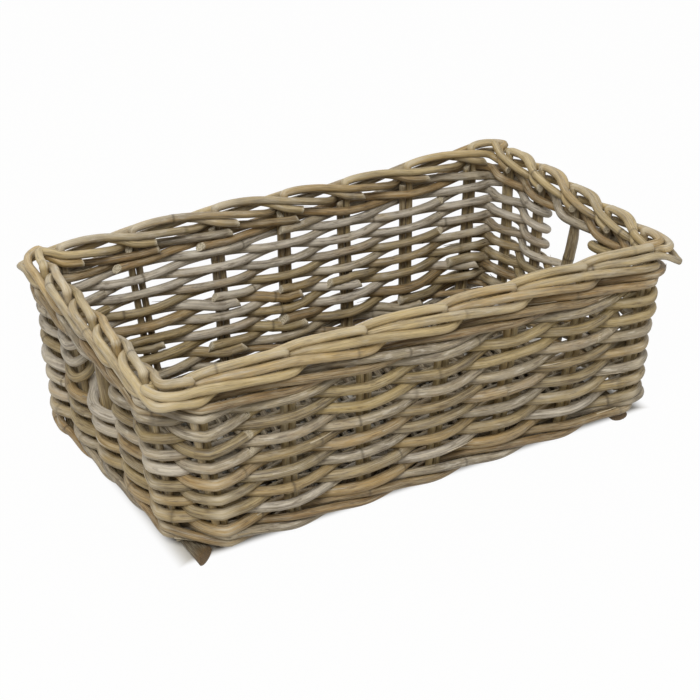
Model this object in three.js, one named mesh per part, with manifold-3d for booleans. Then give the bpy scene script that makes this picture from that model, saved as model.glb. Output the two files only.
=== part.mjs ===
import * as THREE from 'three';
import { mergeVertices } from 'three/addons/utils/BufferGeometryUtils.js';
import Module from 'manifold-3d';

// Rectangular basket woven from round cane, in millimetres, +Z up, standing on z = 0.
// The long front wall faces -Y. Stations count the uprights counter-clockwise seen
// from above, starting at the front left corner, and a half station lies between two.

// Driving dimensions: the middle of the wall at the mouth, and how much shorter and
// narrower it is at the belly and from there to the floor
const mouth_length = 520;
const mouth_width = 296;
const belly_length_taper = 16;
const belly_width_taper = 10;
const floor_length_taper = 11;
const floor_width_taper = 5;
const belly_height = 30;
const corner_cut = 5;
const corner_reach = 32;

// Cane diameters
const weaver_diameter = 8.2;
const wale_diameter = 7.5;
const stake_diameter = 6.6;
const post_diameter = 10.5;
const border_diameter = 7.6;
const stick_diameter = 8;
const filler_diameter = 6;
const runner_width = 14;
const runner_height = 8;

// Fits
const clearance = 0.3;
const floor_gap = 0.3;
const rod_gap = 0.8;
const foot_cover_gap = 0.6;
const border_gap = 0.6;
const pair_overlap = 0.8;

// Counts
const long_stakes = 7;
const end_stakes = 5;
const rows = 7;
const handle_rows = 3;
const wale_rods = 3;
const base_sticks = 7;
const filler_passes = 8;
const rod_sides = 5;
const filler_sides = 4;
const stick_sides = 6;
const join_places = 3;

// How far a stiff rod bows past the tightest fit round an upright
const wall_bow_share = 1.19;
const corner_bow_share = 1.41;
const post_bow_share = 1.06;
const wale_rise_share = 1.21;
const filler_bow_share = 1.05;
const filler_turn_shares = [0.95, 0.52];
const filler_turn_place_shares = [0.33, 0.67];
const turn_side_share = 0.79;
const turn_reach_share = 1.05;
const turn_level_share = 0.25;
const tail_share = 0.33;
const border_corner_share = 1.9;
const runner_flat_share = 0.4;
const runner_edge_shares = [0.33, 0.67];
const corner_upright_lift_share = 0.5;

// Feet of the long-side uprights and the ends of the base rods
const foot_length = 45;
const foot_bend = 4;
const stake_end_height = 2.5;
const runner_setback = 2;
const runner_overhang = 6;
const stick_inset = 6;
const base_inset = 22.5;
const lift_height = 110;
const lift_margin = 1.5;

// One border rod, from its own upright over the next four: how many stations along,
// then how many rod lanes out from the wall and up from the top of the weave
const border_step_shares = [
  [0.12, -0.05, 2.72],
  [0.5, -0.75, 2.92],
  [1, -1.12, 2.15],
  [1.5, -0.9, 1.25],
  [1.8, 0, 0.5],
  [2, 1.14, 0.5],
  [2.5, 1.15, 1],
  [3, 1.12, 1.56],
  [3.5, 0.78, 2.18],
  [3.8, -0.18, 1.62],
  [4, -1.12, 0.98],
  [4.25, -1.15, 0.55],
];
const hook_height_share = 1.9;
const hook_steps = 1;

// Radii, outlines and heights worked out from the sizes above
const belly_length = mouth_length - belly_length_taper;
const belly_width = mouth_width - belly_width_taper;
const floor_length = belly_length - floor_length_taper;
const floor_width = belly_width - floor_width_taper;
const base_half_width = floor_width / 2 - base_inset;
const weaver_radius = weaver_diameter / 2;
const wale_radius = wale_diameter / 2;
const stake_radius = stake_diameter / 2;
const post_radius = post_diameter / 2;
const border_radius = border_diameter / 2;
const stick_radius = stick_diameter / 2;
const filler_radius = filler_diameter / 2;
const pair_spacing = stake_diameter - pair_overlap;
const wale_rise = ((wale_diameter + clearance) / 2) * wale_rise_share;
const rod_pitch = weaver_diameter + rod_gap;
const row_pitch = 2 * rod_pitch;
const foot_height = floor_gap + stake_radius;
const lower_wale_height = foot_height + stake_radius + foot_cover_gap + wale_radius;
const wale_half = wale_rise + wale_radius + clearance;
const row_half = rod_pitch / 2 + weaver_radius;
const first_row_height = lower_wale_height + wale_half + row_half;
const last_row_height = first_row_height + (rows - 1) * row_pitch;
const upper_wale_height = last_row_height + row_half + wale_half;
const border_floor = upper_wale_height + wale_half;
const lane = border_diameter + border_gap;
const stick_floor = Math.max(runner_height, foot_height + stake_radius) + clearance;
const filler_bow = (stick_radius + filler_radius + clearance) * filler_bow_share;
const filler_depth = floor_gap + filler_diameter / Math.SQRT2 + filler_bow;
const stick_height = Math.max(stick_floor + stick_radius, filler_depth);
const wale_bottom = lower_wale_height - wale_rise - wale_radius;
const corner_lift = runner_height + clearance + lift_margin - wale_bottom;

const station_count = 2 * (long_stakes + end_stakes);
const right_start = long_stakes;
const back_start = long_stakes + end_stakes;
const left_start = back_start + long_stakes;
const right_post = right_start + (end_stakes - 1) / 2;
const left_post = left_start + (end_stakes - 1) / 2;

const library = await Module();
library.setup();

// Half the wall's length and width at a height
function halfSizes(height) {
  const below = height < belly_height;
  const low = below ? [floor_length, floor_width, 0] : [belly_length, belly_width, belly_height];
  const top = [mouth_length, mouth_width, border_floor];
  const high = below ? [belly_length, belly_width, belly_height] : top;
  const part = (height - low[2]) / (high[2] - low[2]);
  return [
    (low[0] + (high[0] - low[0]) * part) / 2,
    (low[1] + (high[1] - low[1]) * part) / 2,
  ];
}

// Where each side of the wall runs: its direction of travel and its outward normal
const sides = [
  { first: 0, count: long_stakes, along: [1, 0], out: [0, -1], long: true },
  { first: right_start, count: end_stakes, along: [0, 1], out: [1, 0], long: false },
  { first: back_start, count: long_stakes, along: [-1, 0], out: [0, 1], long: true },
  { first: left_start, count: end_stakes, along: [0, -1], out: [-1, 0], long: false },
];

function sideOf(station) {
  return sides.find((side) => station >= side.first && station < side.first + side.count);
}

// The plan point, the outward direction and the lift at an upright
function uprightAnchor(station, height) {
  const side = sideOf(station);
  const [half_length, half_width] = halfSizes(height);
  const run = (side.long ? half_length : half_width) - corner_reach;
  const depth = side.long ? half_width : half_length;
  const travel = run * ((2 * (station - side.first)) / (side.count - 1) - 1);
  const at_corner = station === side.first || station === side.first + side.count - 1;
  return {
    x: side.along[0] * travel + side.out[0] * depth,
    y: side.along[1] * travel + side.out[1] * depth,
    out: side.out,
    lift: side.long ? (at_corner ? corner_upright_lift_share : 0) : 1,
  };
}

// The same at the corner that follows a side
function cornerAnchor(side, height) {
  const [half_length, half_width] = halfSizes(height);
  const next = sides[(sides.indexOf(side) + 1) % sides.length];
  const signs = [side.out[0] + next.out[0], side.out[1] + next.out[1]];
  return {
    x: signs[0] * (half_length - corner_cut),
    y: signs[1] * (half_width - corner_cut),
    out: [signs[0] * Math.SQRT1_2, signs[1] * Math.SQRT1_2],
    lift: 1,
  };
}

function blend(a, b, part) {
  const mix = (from, to) => from + (to - from) * part;
  return {
    x: mix(a.x, b.x),
    y: mix(a.y, b.y),
    out: [mix(a.out[0], b.out[0]), mix(a.out[1], b.out[1])],
    lift: mix(a.lift, b.lift),
  };
}

function anchorAt(station, height) {
  const turned = ((station % station_count) + station_count) % station_count;
  const low = Math.floor(turned);
  const part = turned - low;
  const from = uprightAnchor(low, height);
  if (part === 0) return from;
  const side = sideOf(low);
  const next = (low + 1) % station_count;
  const to = uprightAnchor(next, height);
  if (sideOf(next) === side) return blend(from, to, part);
  const corner = cornerAnchor(side, height);
  return part <= 1 / 2 ? blend(from, corner, part * 2) : blend(corner, to, part * 2 - 1);
}

// A point of the wall: station, distance out from the wall's middle, height, and a
// step sideways along the wall
function wallPoint(station, outward, height, sideways = 0) {
  const anchor = anchorAt(station, height);
  return new THREE.Vector3(
    anchor.x + anchor.out[0] * outward - anchor.out[1] * sideways,
    anchor.y + anchor.out[1] * outward + anchor.out[0] * sideways,
    height,
  );
}

// The same for a weaver, which rides up over the runners near the ends
function weavePoint(station, outward, height, sideways = 0) {
  const fade = Math.max(0, 1 - height / lift_height);
  const lifted = height + corner_lift * anchorAt(station, height).lift * fade;
  return wallPoint(station, outward, lifted, sideways);
}

function isPost(station) {
  return station === right_post || station === left_post;
}

function isNextToCorner(station) {
  const side = sideOf(station);
  return station === side.first || station === side.first + side.count - 1;
}

// How far a rod passes from the wall's middle at an upright
function reachAt(station, radius, outside) {
  const turned = ((station % station_count) + station_count) % station_count;
  if (isPost(turned)) return (post_radius + radius + clearance) * post_bow_share;
  const tight = stake_radius + radius + clearance;
  const share = outside && isNextToCorner(turned) ? corner_bow_share : wall_bow_share;
  return tight * share;
}

const upward = new THREE.Vector3(0, 0, 1);

// A round rod through points, as one closed body: cut ends, or joined into a ring.
// radii holds one radius for each point, and facing is where its first corner looks.
function rodGeometry(points, radii, side_count, facing = upward, ring = false) {
  const count = points.length;
  const positions = [];
  let normal = facing;
  for (let index = 0; index < count; index += 1) {
    const before = points[ring ? (index + count - 1) % count : Math.max(index - 1, 0)];
    const after = points[ring ? (index + 1) % count : Math.min(index + 1, count - 1)];
    const entering = points[index].clone().sub(before).normalize();
    const leaving = after.clone().sub(points[index]).normalize();
    const tangent = entering.clone().add(leaving).normalize();
    if (ring) normal = upward;
    normal = normal.clone().addScaledVector(tangent, -normal.dot(tangent)).normalize();
    const across = tangent.clone().cross(normal);
    const bend = leaving.clone().sub(entering);
    const mitre = bend.lengthSq() > 0 ? 1 / Math.max(entering.dot(tangent) || 1, Math.SQRT1_2) : 1;
    bend.normalize();
    for (let corner = 0; corner < side_count; corner += 1) {
      const angle = (2 * Math.PI * corner) / side_count;
      const arm = normal.clone().multiplyScalar(Math.cos(angle) * radii[index]);
      arm.addScaledVector(across, Math.sin(angle) * radii[index]);
      arm.addScaledVector(bend, arm.dot(bend) * (mitre - 1));
      positions.push(points[index].x + arm.x, points[index].y + arm.y, points[index].z + arm.z);
    }
  }
  return closedTube(positions, count, side_count, ring);
}

function closedTube(positions, count, side_count, ring) {
  const faces = [];
  const spans = ring ? count : count - 1;
  for (let span = 0; span < spans; span += 1) {
    const here = span * side_count;
    const there = ((span + 1) % count) * side_count;
    for (let corner = 0; corner < side_count; corner += 1) {
      const next = (corner + 1) % side_count;
      faces.push(here + corner, here + next, there + next);
      faces.push(here + corner, there + next, there + corner);
    }
  }
  const last = (count - 1) * side_count;
  for (let corner = 1; !ring && corner < side_count - 1; corner += 1) {
    faces.push(0, corner + 1, corner);
    faces.push(last, last + corner, last + corner + 1);
  }
  const geometry = new THREE.BufferGeometry();
  geometry.setAttribute('position', new THREE.Float32BufferAttribute(positions, 3));
  geometry.setIndex(faces);
  return geometry;
}

// Two closed bodies joined into one
function joined(first, second) {
  const solids = [first, second].map((geometry) => {
    const merged = mergeVertices(geometry);
    const vertices = Float32Array.from(merged.getAttribute('position').array);
    const triangles = Uint32Array.from(merged.index.array);
    const mesh = new library.Mesh({ numProp: 3, vertProperties: vertices, triVerts: triangles });
    return new library.Manifold(mesh);
  });
  const result = solids[0].add(solids[1]).getMesh();
  const geometry = new THREE.BufferGeometry();
  geometry.setAttribute('position', new THREE.Float32BufferAttribute(result.vertProperties, 3));
  geometry.setIndex(Array.from(result.triVerts));
  return geometry;
}

const basket = new THREE.Group();
basket.name = 'rattan_basket';

// Sun-greyed and honey-coloured cane
const cane = {
  weaver: new THREE.Color('#96866d'),
  grey_weaver: new THREE.Color('#98908a'),
  wale: new THREE.Color('#8f7c60'),
  stake: new THREE.Color('#a38d68'),
  base: new THREE.Color('#7d6a52'),
};

function addPiece(name, geometry, colour) {
  const flat = geometry.toNonIndexed();
  flat.computeVertexNormals();
  const material = new THREE.MeshStandardMaterial({ color: colour, roughness: 0.7, metalness: 0 });
  const mesh = new THREE.Mesh(flat, material);
  mesh.name = name;
  basket.add(mesh);
}

// One rod of a full row: inside and outside of the uprights in turn, with its two cut
// ends stacked inside at the join
function weaverRod(height, join_station) {
  const points = [];
  const stack = (weaver_diameter + clearance) / 2;
  const inside = -reachAt(join_station, weaver_radius, false);
  points.push(weavePoint(join_station - tail_share, inside, height - stack));
  points.push(weavePoint(join_station, inside, height - stack));
  for (let step = 0; step < station_count; step += 1) {
    points.push(weavePoint(join_station + step + 1 / 2, 0, height));
    if (step === station_count - 1) break;
    const station = join_station + step + 1;
    const outside = step % 2 === 0;
    const reach = reachAt(station, weaver_radius, outside);
    points.push(weavePoint(station, outside ? reach : -reach, height));
  }
  const end = join_station + station_count;
  points.push(weavePoint(end, inside, height + stack));
  points.push(weavePoint(end + tail_share, inside, height + stack));
  return rodGeometry(points, points.map(() => weaver_radius), rod_sides);
}

// One rod of a row beside the handle holes: it runs along the lower half of the row,
// folds round the upright at the hole and comes back along the upper half
function foldedRod(height, first_station, stations) {
  const run = (returning) => {
    const level = height + (returning ? rod_pitch : -rod_pitch) / 2;
    const points = [];
    for (let step = 0; step < stations; step += 1) {
      const outside = (step % 2 === 0) !== returning;
      const station = first_station + step;
      const reach = reachAt(station, weaver_radius, outside);
      points.push(weavePoint(station, outside ? reach : -reach, level));
      if (step < stations - 1) points.push(weavePoint(station + 1 / 2, 0, level));
    }
    return points;
  };
  const tight = stake_radius + weaver_radius + clearance;
  const turn_reach = pair_spacing / 2 + tight * turn_reach_share;
  const turn_side = tight * turn_side_share;
  const turn = (station, direction) => [1, -1].map((outward) => {
    const level = height - outward * rod_pitch * turn_level_share;
    return weavePoint(station, outward * turn_side, level, direction * turn_reach);
  });
  const last_station = first_station + stations - 1;
  const points = [
    ...run(false),
    ...turn(last_station, 1),
    ...run(true).reverse(),
    ...turn(first_station, -1).reverse(),
  ];
  return rodGeometry(points, points.map(() => weaver_radius), rod_sides, upward, true);
}

// One of the three rods of a wale: outside two uprights, falling along the wall, then
// inside one, with its two cut ends stacked inside at the join
function waleRod(height, join_station) {
  const points = [];
  const stack = (wale_diameter + clearance) / 2;
  const inside = -reachAt(join_station, wale_radius, false);
  points.push(weavePoint(join_station - tail_share, inside, height + stack));
  points.push(weavePoint(join_station, inside, height + stack));
  for (let step = 0; step < station_count; step += 1) {
    const phase = step % wale_rods;
    const middle = join_station + step + 1 / 2;
    if (phase === 0) points.push(weavePoint(middle, 0, height + wale_rise));
    if (phase === 1 && turnsCorner(middle)) {
      points.push(weavePoint(middle, reachAt(join_station, wale_radius, false), height));
    }
    if (phase === 2) points.push(weavePoint(middle, 0, height - wale_rise));
    if (step === station_count - 1) break;
    const station = join_station + step + 1;
    const reach = reachAt(station, wale_radius, phase !== 2);
    if (phase === 0) points.push(weavePoint(station, reach, height + wale_rise));
    if (phase === 1) points.push(weavePoint(station, reach, height - wale_rise));
    if (phase === 2) points.push(weavePoint(station, -reach, height));
  }
  const end = join_station + station_count;
  points.push(weavePoint(end, inside, height - stack));
  points.push(weavePoint(end + tail_share, inside, height - stack));
  return rodGeometry(points, points.map(() => wale_radius), rod_sides);
}

function turnsCorner(middle) {
  const before = (Math.floor(middle) + station_count) % station_count;
  return sideOf(before) !== sideOf((before + 1) % station_count);
}

// An upright that bends over at the top and becomes its own border rod: behind the
// next upright, in front of two and back inside, with the cut end inside
function stakeGeometry(station) {
  const side = sideOf(station);
  const post = isPost(station);
  const radius = post ? post_radius : stake_radius;
  const shift = post ? 0 : -pair_spacing / 2;
  const hole_top = upper_wale_height - wale_half;
  const points = [];
  const radii = [];
  const put = (point, size) => {
    points.push(point);
    radii.push(size);
  };
  if (side.long) {
    put(wallPoint(station, -foot_length, foot_height, shift), radius);
    put(wallPoint(station, -foot_bend, foot_height, shift), radius);
    put(wallPoint(station, 0, foot_height + foot_bend, shift), radius);
  } else {
    put(wallPoint(station, 0, stake_end_height, shift), radius);
  }
  put(wallPoint(station, 0, belly_height, shift), radius);
  if (post) put(wallPoint(station, 0, hole_top), radius);
  put(wallPoint(station, 0, border_floor, post ? 0 : shift), stake_radius);
  put(wallPoint(station, 0, border_floor + hook_height_share * lane, shift), stake_radius);
  border_step_shares.forEach(([along, out, up], index) => {
    const size = index < hook_steps ? stake_radius : border_radius;
    const place = station - along;
    const turning = out > 0 && !Number.isInteger(place) && turnsCorner(place);
    const reach = out * lane * (turning ? border_corner_share : 1);
    put(wallPoint(place, reach, border_floor + up * lane), size);
  });
  const outward = new THREE.Vector3(side.out[0], side.out[1], 0);
  const main = rodGeometry(points, radii, rod_sides, side.long ? upward : outward);
  if (post) return main;
  const heights = [side.long ? foot_height : stake_end_height, belly_height, border_floor];
  const twin_points = heights.map((height) => wallPoint(station, 0, height, -shift));
  const backward = new THREE.Vector3(-side.along[0], -side.along[1], 0);
  const twin = rodGeometry(twin_points, heights.map(() => stake_radius), rod_sides, backward);
  return joined(main, twin);
}

// The base: sticks along the length, fillers woven across them in each bay between
// two pairs of feet, and a flattened runner across under each end
function stickGeometry(index) {
  const [half_length] = halfSizes(stick_height);
  const inner = reachAt(right_post, wale_radius, false) + wale_radius + clearance;
  const at_edge = index === 0 || index === base_sticks - 1;
  const end = half_length - inner - (at_edge ? stick_inset : 0);
  const y = stickPlace(index);
  const points = [-end, end].map((x) => new THREE.Vector3(x, y, stick_height));
  return rodGeometry(points, points.map(() => stick_radius), stick_sides);
}

function stickPlace(index) {
  return base_half_width * ((2 * index) / (base_sticks - 1) - 1);
}

function fillerGeometry(bay) {
  const from = wallPoint(bay, 0, foot_height).x + pair_spacing / 2;
  const to = wallPoint(bay + 1, 0, foot_height).x - pair_spacing / 2;
  const step = (to - from) / (filler_passes + 1);
  const points = [];
  for (let pass = 0; pass < filler_passes; pass += 1) {
    const x = from + step * (pass + 1);
    const forward = pass % 2 === 0;
    for (let count = 0; count < base_sticks; count += 1) {
      const index = forward ? count : base_sticks - 1 - count;
      const above = (index + pass) % 2 === 0;
      points.push(new THREE.Vector3(x, stickPlace(index), stick_height + (above ? filler_bow : -filler_bow)));
    }
    if (pass === filler_passes - 1) break;
    const y = (base_half_width + filler_bow * filler_turn_shares[0]) * (forward ? 1 : -1);
    const leaves_above = (forward ? base_sticks - 1 : 0) % 2 === pass % 2;
    const drop = filler_bow * filler_turn_shares[1] * (leaves_above ? 1 : -1);
    const [leave, enter] = filler_turn_place_shares.map((share) => x + step * share);
    points.push(new THREE.Vector3(leave, y, stick_height + drop));
    points.push(new THREE.Vector3(enter, y, stick_height - drop));
  }
  return rodGeometry(points, points.map(() => filler_radius), filler_sides);
}

function runnerGeometry(direction) {
  const [half_length, half_width] = halfSizes(runner_height / 2);
  const setback = stake_radius + clearance + runner_width / 2 + runner_setback;
  const length = 2 * (half_width + runner_overhang);
  const half = runner_width / 2;
  const flat = half * runner_flat_share;
  const [low_edge, high_edge] = runner_edge_shares.map((share) => runner_height * share);
  const outline = new THREE.Shape();
  outline.moveTo(-flat, 0);
  outline.lineTo(flat, 0);
  outline.lineTo(half, low_edge);
  outline.lineTo(half, high_edge);
  outline.lineTo(flat, runner_height);
  outline.lineTo(-flat, runner_height);
  outline.lineTo(-half, high_edge);
  outline.lineTo(-half, low_edge);
  outline.closePath();
  const geometry = new THREE.ExtrudeGeometry(outline, { depth: length, bevelEnabled: false });
  geometry.translate(0, 0, -length / 2);
  geometry.rotateX(Math.PI / 2);
  geometry.translate(direction * (half_length - setback), 0, 0);
  geometry.deleteAttribute('normal');
  geometry.deleteAttribute('uv');
  return mergeVertices(geometry);
}

// Wales: their joins lie inside, on the end walls
for (let rod = 0; rod < wale_rods; rod += 1) {
  const number = rod + 1;
  addPiece(`lower_wale_rod_${number}`, waleRod(lower_wale_height, right_start + 1 + rod), cane.wale);
  addPiece(`upper_wale_rod_${number}`, waleRod(upper_wale_height, back_start + 1 + rod), cane.wale);
}

// Rows of two rods, one above the other, which pass each upright on opposite sides:
// full rounds below the handles, then front and back runs beside them
const full_rows = rows - handle_rows;
for (let row = 0; row < full_rows; row += 1) {
  const low = first_row_height + row * row_pitch - rod_pitch / 2;
  const low_join = back_start + 1 + 2 * (row % join_places);
  const high_join = back_start + 2 * ((row + 2) % join_places);
  addPiece(`row_${row + 1}_rod_a`, weaverRod(low, low_join), cane.weaver);
  addPiece(`row_${row + 1}_rod_b`, weaverRod(low + rod_pitch, high_join), cane.grey_weaver);
}
for (let row = full_rows; row < rows; row += 1) {
  const height = first_row_height + row * row_pitch;
  const stations = long_stakes + end_stakes - 1;
  addPiece(`row_${row + 1}_front_rod`, foldedRod(height, left_post + 1, stations), cane.weaver);
  addPiece(`row_${row + 1}_back_rod`, foldedRod(height, right_post + 1, stations), cane.grey_weaver);
}

// Uprights with their border rods
const side_names = ['front', 'right', 'back', 'left'];
sides.forEach((side, side_index) => {
  let number = 0;
  for (let station = side.first; station < side.first + side.count; station += 1) {
    const post = isPost(station);
    if (!post) number += 1;
    const name = post ? `${side_names[side_index]}_handle_post` : `${side_names[side_index]}_stake_${number}`;
    addPiece(name, stakeGeometry(station), cane.stake);
  }
});

// Base
for (let index = 0; index < base_sticks; index += 1) {
  addPiece(`base_stick_${index + 1}`, stickGeometry(index), cane.base);
}
for (let bay = 0; bay < long_stakes - 1; bay += 1) {
  addPiece(`base_filler_${bay + 1}`, fillerGeometry(bay), cane.base);
}
addPiece('left_runner', runnerGeometry(-1), cane.base);
addPiece('right_runner', runnerGeometry(1), cane.base);

export default basket;
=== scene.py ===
"""Rectangular basket woven from round natural cane: its looks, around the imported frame.

Everything is in metres in the frame's own axes: the long front wall faces -Y and the
basket stands on z = 0. Uprights are counted counter-clockwise seen from above, from
the front left corner, and these counts are called stations.
"""
import math
import random
from collections import defaultdict, namedtuple

import bpy
import numpy as np
from mathutils import Matrix, Vector, noise


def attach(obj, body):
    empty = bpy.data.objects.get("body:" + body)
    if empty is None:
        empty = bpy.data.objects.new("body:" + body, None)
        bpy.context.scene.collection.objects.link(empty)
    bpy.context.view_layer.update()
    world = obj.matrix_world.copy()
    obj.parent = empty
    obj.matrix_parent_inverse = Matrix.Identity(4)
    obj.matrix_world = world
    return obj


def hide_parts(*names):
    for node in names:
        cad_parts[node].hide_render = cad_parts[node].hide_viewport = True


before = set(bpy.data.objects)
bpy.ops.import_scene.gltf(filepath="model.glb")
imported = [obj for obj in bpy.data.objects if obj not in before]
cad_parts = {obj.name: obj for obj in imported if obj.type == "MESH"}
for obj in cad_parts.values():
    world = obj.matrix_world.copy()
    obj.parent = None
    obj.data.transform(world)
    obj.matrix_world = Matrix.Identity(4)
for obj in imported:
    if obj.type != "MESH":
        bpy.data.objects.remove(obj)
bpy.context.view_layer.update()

MM = 0.001

# The wall's middle surface, as length and width at three heights
FLOOR = (493 * MM, 281 * MM)
BELLY = (504 * MM, 286 * MM)
MOUTH = (520 * MM, 296 * MM)
BELLY_HEIGHT = 30 * MM
BORDER_FLOOR = 162.8 * MM
CORNER_REACH = 32 * MM
CORNER_RADIUS = 10 * MM

# Weave heights, and how far it rides up over the runners by the ends
LOWER_WALE = 11.3 * MM
FIRST_ROD = 24.1 * MM
ROD_PITCH = 9 * MM
ROWS = 7
FULL_ROWS = 4
UPPER_WALE = 154.0 * MM
RUNNER_LIFT = 7 * MM
LIFT_FADE = 110 * MM

# The share of that lift at the corners, and where it is less at the left of the back
CORNER_LIFT = 0.85
LIFTS = {18: 0.4, 19: 0.4, 20: 0.6}

# Cane sizes. The border's are in front, on the right, at the back and on the left, as
# all lists of four sides are here.
WEAVER_RADIUS = 5 * MM
WALE_RADIUS = 4.3 * MM
STAKE_RADIUS = 3.6 * MM
POST_RADIUS = 5.8 * MM
RIGHT_POST_LEAN = 7 * MM
BORDER_RADII = [4.3 * MM, 3.95 * MM, 3.9 * MM, 4.1 * MM]
STICK_RADIUS = 4 * MM
FILLER_RADIUS = 3.2 * MM
RUNNER_HALF_WIDTH = 9.5 * MM

# How the rods lie by each other: the gap where they touch, how much further out they
# spring at an upright, and how far they stray from their row and from mid-bay
PAIR_HALF = 3.9 * MM
TOUCH = 0.1 * MM
SPRING = 1.08
CORNER_SPRING = 1.15
CORNER_BULGE = 0.8 * MM
ROD_SLACK = 1.7 * MM
CROSSING_SHIFT = 0.07
BEND_ROUNDNESS = 0.68
WALE_RISE = 4.6 * MM
BORDER_LANE = 8.2 * MM
SAMPLE_STEP = 2.2 * MM

# Base, with the runners' gap to the wall, how much further in the right one lies and how
# far their ends stick out
STICK_HEIGHT = 12.3 * MM
BASE_HALF_WIDTH = 118 * MM
BASE_STICKS = 7
FILLER_PASSES = 11
FOOT_HEIGHT = 4 * MM
FOOT_LENGTH = 45 * MM
RUNNER_HEIGHT = 8 * MM
RUNNER_GAP = 5.6 * MM
RIGHT_RUNNER_INSET = 15 * MM
RUNNER_END = 8 * MM
RUNNER_RISE = 0.4 * MM
RUNNER_TONE = (0.1, 0.9, 0.35)

# The uprights' places, counted round the basket
STATIONS = 24
HALF_ROUND = 12
LONG_STAKES = 7
RIGHT_POST = 9
LEFT_POST = 21

# The sides: their first and last upright, the way they run and the way they face
Side = namedtuple("Side", "first last along out long")
SIDES = [
    Side(0, 6, (1, 0), (0, -1), True),
    Side(7, 11, (0, 1), (1, 0), False),
    Side(12, 18, (-1, 0), (0, 1), True),
    Side(19, 23, (0, -1), (-1, 0), False),
]
SIDE_NAMES = ["front", "right", "back", "left"]

# How far the mouth end of each upright of the long walls leans to the right, as seen
# in the photograph, from the left end of the wall to its right end
FRONT_LEANS = [-3 * MM, 9 * MM, 9 * MM, 13 * MM, 12 * MM, 14 * MM, 14 * MM]
BACK_LEANS = [-6 * MM, -7 * MM, 6 * MM, 7 * MM, 2 * MM, 0, 3 * MM]
LEAN_FLOOR_SHARE = 0.35

# How far the weave cuts each corner straight from upright to upright, 0 when it goes
# round it like the border
CORNER_CUTS = {6.5: 0.4, 11.5: 0.45, 18.5: 0.25, 23.5: 0.95}


def ease(part):
    """0 to 1 with level ends."""
    part = min(1.0, max(0.0, part))
    return part * part * (3 - 2 * part)


def side_of(station):
    return next(s for s in SIDES if s.first <= station < s.last + 1)


def half_sizes(height):
    """Half the wall's length and width at a height."""
    if height < BELLY_HEIGHT:
        low, high, part = FLOOR, BELLY, height / BELLY_HEIGHT
    else:
        low, high = BELLY, MOUTH
        part = (height - BELLY_HEIGHT) / (BORDER_FLOOR - BELLY_HEIGHT)
    return [(a + (b - a) * part) / 2 for a, b in zip(low, high)]


def lean_at(station, height):
    """How far along its side an upright has leaned at a height."""
    side = side_of(station)
    if not side.long:
        return 0.0
    place = station - side.first
    front = side.first == 0
    lean = FRONT_LEANS[place] if front else -BACK_LEANS[LONG_STAKES - 1 - place]
    share = LEAN_FLOOR_SHARE + (1 - LEAN_FLOOR_SHARE) * min(1, height / BORDER_FLOOR)
    return lean * share


def wall_frame(station, height):
    """The point of the wall's middle and its outward direction at a station."""
    turned = station % STATIONS
    low = math.floor(turned)
    part = turned - low
    side = side_of(low)
    along, out = Vector(side.along), Vector(side.out)
    half_length, half_width = half_sizes(height)
    half_run = half_length if side.long else half_width
    depth = half_width if side.long else half_length
    run = half_run - CORNER_REACH
    lean = lean_at(low, height)
    if low < side.last or part == 0:
        travel = run * (2 * (turned - side.first) / (side.last - side.first) - 1)
        travel += lean + (lean_at(low + 1, height) - lean) * part if part else lean
        return along * travel + out * depth, out
    next_lean = lean_at((low + 1) % STATIONS, height)
    before = CORNER_REACH - CORNER_RADIUS - lean
    after = CORNER_REACH - CORNER_RADIUS + next_lean
    arc = CORNER_RADIUS * math.pi / 2
    gone = 2 * part * (before + arc / 2)
    if gone < before:
        return along * (run + lean + gone) + out * depth, out
    centre = along * (half_run - CORNER_RADIUS) + out * (depth - CORNER_RADIUS)
    if part > 0.5:
        gone = before + arc / 2 + (2 * part - 1) * (after + arc / 2)
    if gone < before + arc:
        turn = (gone - before) / CORNER_RADIUS
        facing = out * math.cos(turn) + along * math.sin(turn)
        return centre + facing * CORNER_RADIUS, facing
    past = gone - before - arc
    return centre + along * CORNER_RADIUS - out * past, along


def weave_frame(station, height):
    """The same for the weave, which cuts the corners."""
    plan, out = wall_frame(station, height)
    low = math.floor(station % STATIONS)
    part = station % STATIONS - low
    share = CORNER_CUTS.get(low + 0.5, 0.0)
    if share == 0 or part == 0:
        return plan, out
    before, facing = wall_frame(low, height)
    after, facing_after = wall_frame(low + 1, height)
    turn = part * math.pi / 2
    facing = facing * math.cos(turn) + facing_after * math.sin(turn)
    plan = plan.lerp(before.lerp(after, part), share)
    return plan, out.lerp(facing, share).normalized()


# How the basket has lost its even shape: the back of its rim sags right of the middle,
# the foot of the left end is turned, with its back corner further out, and every rod
# waves. A wave has its ripples a metre, where its pattern starts and its millimetres.
SAG = 7 * MM
SAG_MIDDLE = 110 * MM
SAG_HALF_LENGTH = 110 * MM
SAG_EDGE = (80 * MM, 50 * MM)
LEFT_FOOT_TURN = 9 * MM
LEFT_EDGE = (120 * MM, 100 * MM)
LEFT_HALF_WIDTH = 140 * MM
SETTLED_HEIGHT = BORDER_FLOOR + 20 * MM
FIRM_HEIGHT = 45 * MM
SLOW_WAVE = (7, (3.1, 8.7, 1.9), 2.6)
QUICK_WAVE = (19, (21.3, 4.4, 7.7), 0.9)
WAVE_SEED = 1

noise.seed_set(WAVE_SEED)


def wave(point, ripples, start, reach):
    return noise.noise_vector(point * ripples + Vector(start)) * reach * MM


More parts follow.
